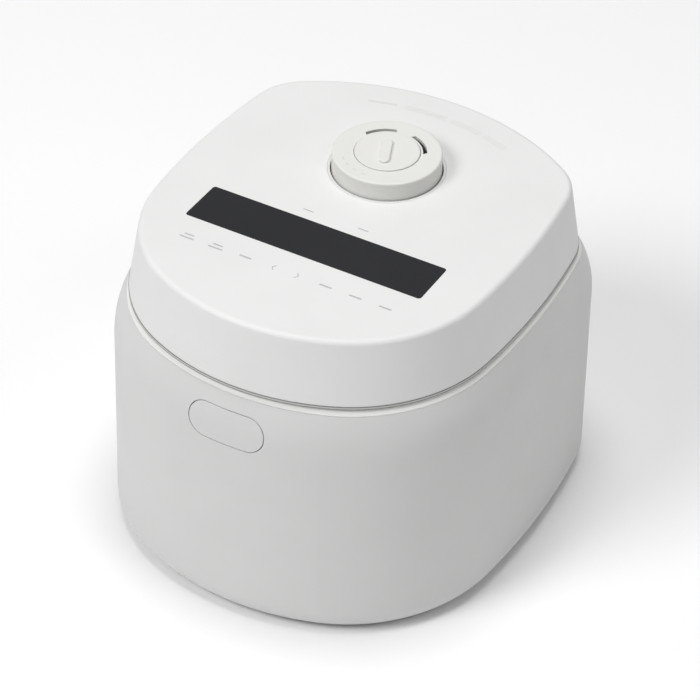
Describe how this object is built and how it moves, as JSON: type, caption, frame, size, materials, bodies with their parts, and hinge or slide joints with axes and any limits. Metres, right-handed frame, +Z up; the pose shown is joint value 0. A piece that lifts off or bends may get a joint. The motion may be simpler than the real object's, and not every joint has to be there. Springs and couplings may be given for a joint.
{
  "type": "rice cooker",
  "caption": "Rounded white induction rice cooker with a hinged flat lid, a display window, a round steam cap and a front release button.",
  "frame": {"origin": "on the ground under the middle of the body", "axes": "+Z up, the front with the release button faces -Y, the lid hinge is at +Y, +X is to the right seen from the front"},
  "size_m": [0.253, 0.2846, 0.2182],
  "materials": {
    "shell_white": "fine satin texture",
    "lid_white": "fine satin texture",
    "cap_white": "satin",
    "window_charcoal": "smooth with a soft sheen",
    "button_white": "satin",
    "soft_grey": "dull",
    "silicone_clear": "dull, slightly milky",
    "pot_coating": "dark non-stick coating with fine specks",
    "steel": "plain drawn or turned",
    "aluminium": "brushed",
    "copper": "lacquered stranded wire",
    "ferrite": "dull fired",
    "inner_plastic": "moulded, dull",
    "frame_white": "moulded, satin",
    "board_green": "lacquered circuit board",
    "component_dark": "moulded cases",
    "lcd_glass": "flat display glass",
    "contact_metal": "plated contacts"
  },
  "bodies": {
    "body": {"body_outer_shell": "shell_white", "base_plate": "inner_plastic", "rubber_feet": "soft_grey", "base_screws": "steel", "body_rim_frame": "frame_white", "inner_pot": "pot_coating", "pot_cradle": "aluminium", "coil_holder": "inner_plastic", "induction_coil": "copper", "ferrite_bars": "ferrite", "sensor_spring": "steel", "fan_frame": "component_dark", "power_board": "board_green", "heat_sink": "aluminium", "board_components": "component_dark", "power_inlet": "inner_plastic", "inlet_pins": "contact_metal", "button_springs": "steel", "button_housing": "frame_white", "housing_screws": "steel", "latch_pin": "steel", "latch_spring": "steel", "hinge_block": "inner_plastic", "hinge_cover": "shell_white", "hinge_pin": "steel", "torsion_springs": "steel", "hinge_screws": "steel"},
    "lid": {"lid_outer_shell": "lid_white", "display_window": "window_charcoal", "lcd_module": "lcd_glass", "display_board": "board_green", "touch_key_sheet": "silicone_clear", "board_posts": "inner_plastic", "lid_lower_frame": "frame_white", "lid_screws": "steel", "lid_catch": "steel", "lid_liner": "aluminium", "lid_heater": "silicone_clear", "inner_lid": "aluminium", "inner_lid_gasket": "silicone_clear", "inner_lid_clip": "inner_plastic", "lid_sensor": "aluminium", "steam_well": "frame_white"},
    "cap": {"steam_cap_top": "cap_white", "steam_cap_disc": "cap_white", "steam_cap_base": "frame_white", "steam_cap_gasket": "silicone_clear"},
    "steam_ball": {"steam_valve_ball": "silicone_clear"},
    "button": {"release_button": "button_white"},
    "hook": {"latch_hook": "inner_plastic"},
    "rotor": {"fan_rotor": "component_dark"},
    "sensor": {"pot_sensor": "aluminium"}
  },
  "joints": [
    {"name": "lid_hinge", "type": "hinge", "parent": "body", "child": "lid", "pos_m": [0, 0.125, 0.168], "axis": [-1, 0, 0], "range_deg": [0, 85]},
    {"name": "release_button_press", "type": "slide", "parent": "body", "child": "button", "axis": [0, 1, 0], "range_m": [0, 0.003], "stiffness_N_per_m": 400, "springref_m": -0.001, "deforming": ["button_springs"]},
    {"name": "latch_hook_turn", "type": "hinge", "parent": "body", "child": "hook", "pos_m": [0, -0.124, 0.147], "axis": [1, 0, 0], "range_deg": [0, 11.5]},
    {"name": "steam_cap_lift", "type": "slide", "parent": "lid", "child": "cap", "axis": [0, 0, 1], "range_m": [0, 0.05]},
    {"name": "steam_ball_lift", "type": "slide", "parent": "cap", "child": "steam_ball", "axis": [0, 0, 1], "range_m": [0, 0.003]},
    {"name": "fan_spin", "type": "hinge", "parent": "body", "child": "rotor", "pos_m": [-0.052, 0.016, 0.017], "axis": [0, 0, 1], "continuous": true},
    {"name": "pot_sensor_press", "type": "slide", "parent": "body", "child": "sensor", "axis": [0, 0, -1], "range_m": [0, 0.003], "stiffness_N_per_m": 300, "springref_m": -0.001, "deforming": ["sensor_spring"]}
  ],
  "couplings": [
    {"joint": "latch_hook_turn", "follows": "release_button_press", "rad_per_m": 66.5}
  ]
}
